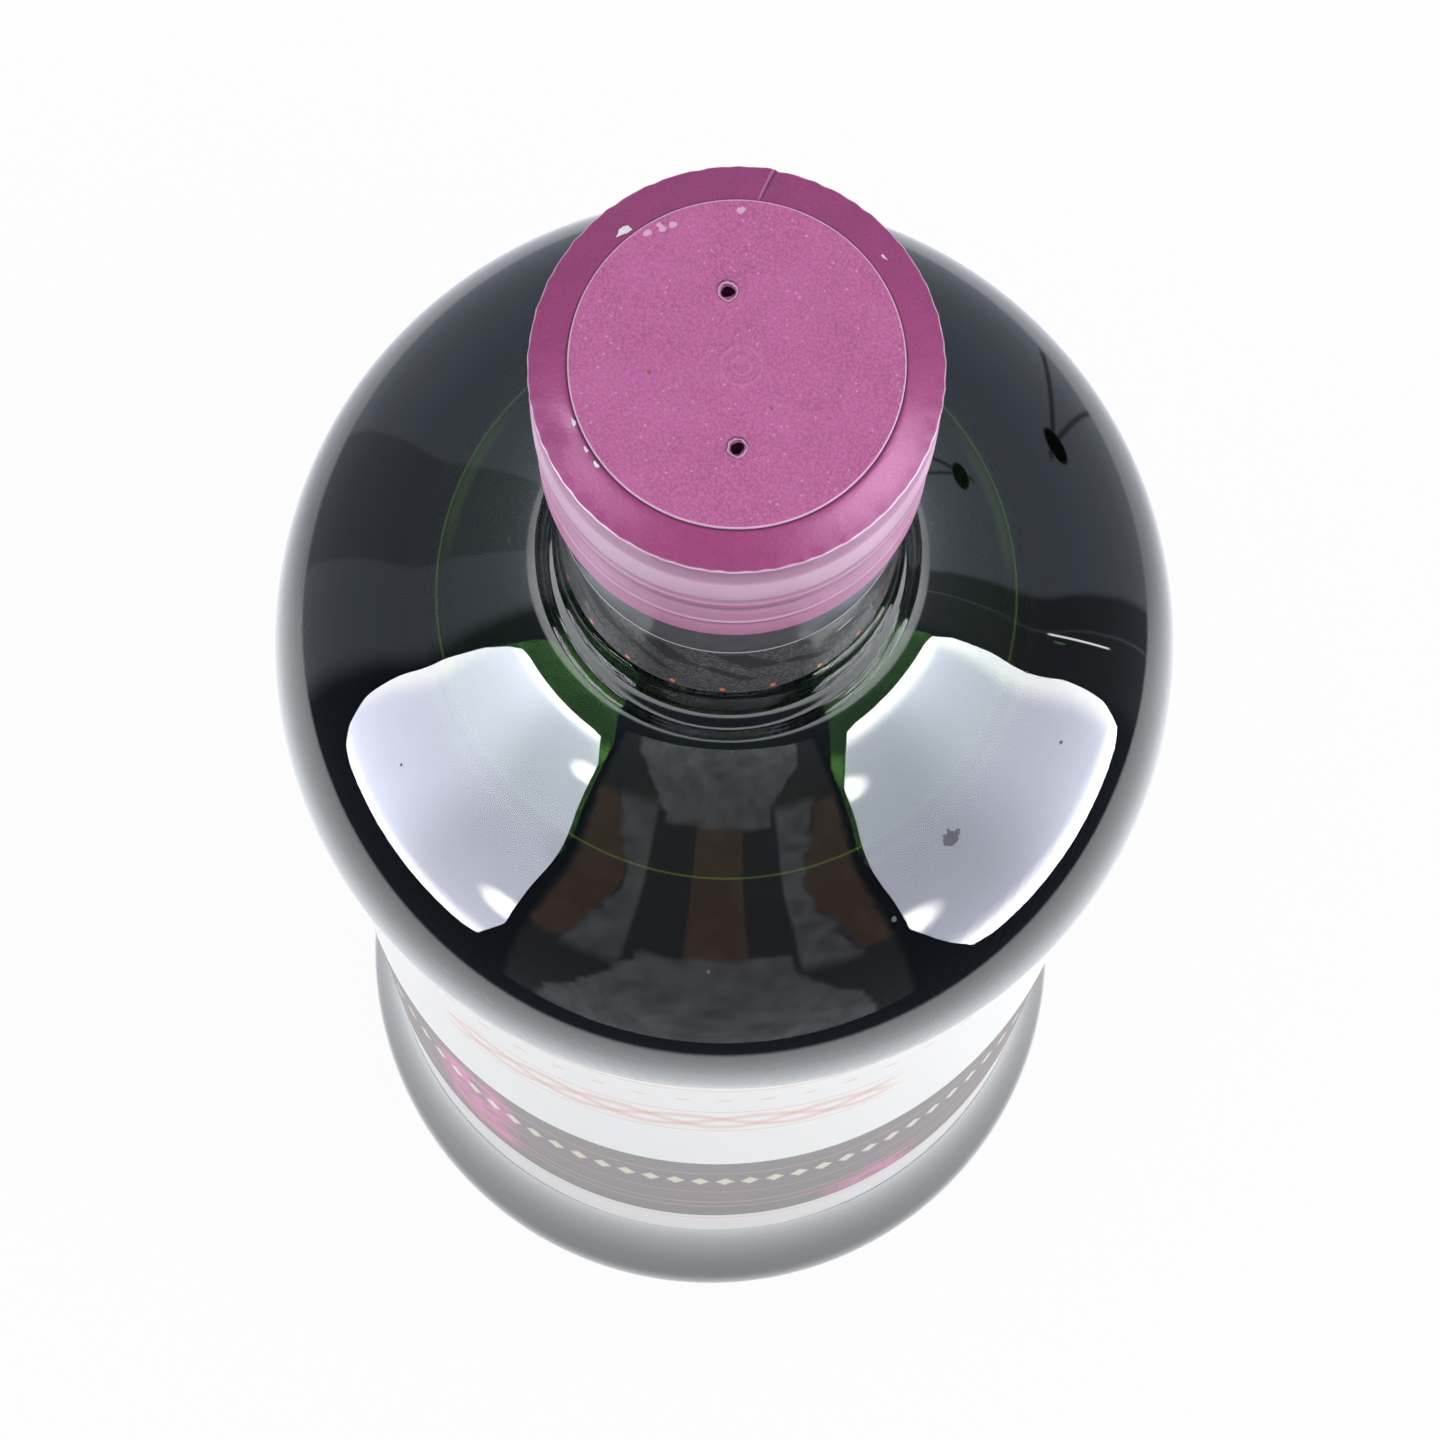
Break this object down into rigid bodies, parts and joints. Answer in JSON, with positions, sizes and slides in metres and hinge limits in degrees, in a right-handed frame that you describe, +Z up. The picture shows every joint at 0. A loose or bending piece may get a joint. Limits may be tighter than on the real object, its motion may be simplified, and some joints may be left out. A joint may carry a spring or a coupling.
{
  "type": "bottle of whisky",
  "caption": "Sealed dark green glass spirits bottle, full to the shoulder, with a two-colour heat-shrunk capsule over the neck and a wrap-round paper label.",
  "frame": {"origin": "centre of the circle that the bottle stands on", "axes": "+Z up along the bottle's axis, -Y towards the front of the label, +X to the right of the label seen from the front"},
  "size_m": [0.081, 0.081, 0.2819],
  "materials": {
    "dark_green_glass": "smooth, very dark green bottle glass",
    "whisky": "clear amber liquid",
    "capsule_film": "satin heat-shrunk film, magenta above and charcoal below",
    "disc_film": "matte pink film with a fine grain",
    "label_paper": "coated label paper, white above and charcoal below"
  },
  "bodies": {
    "root": {"bottle_glass": "dark_green_glass", "whisky": "whisky", "capsule": "capsule_film", "capsule_disc": "disc_film", "label": "label_paper"}
  },
  "joints": []
}
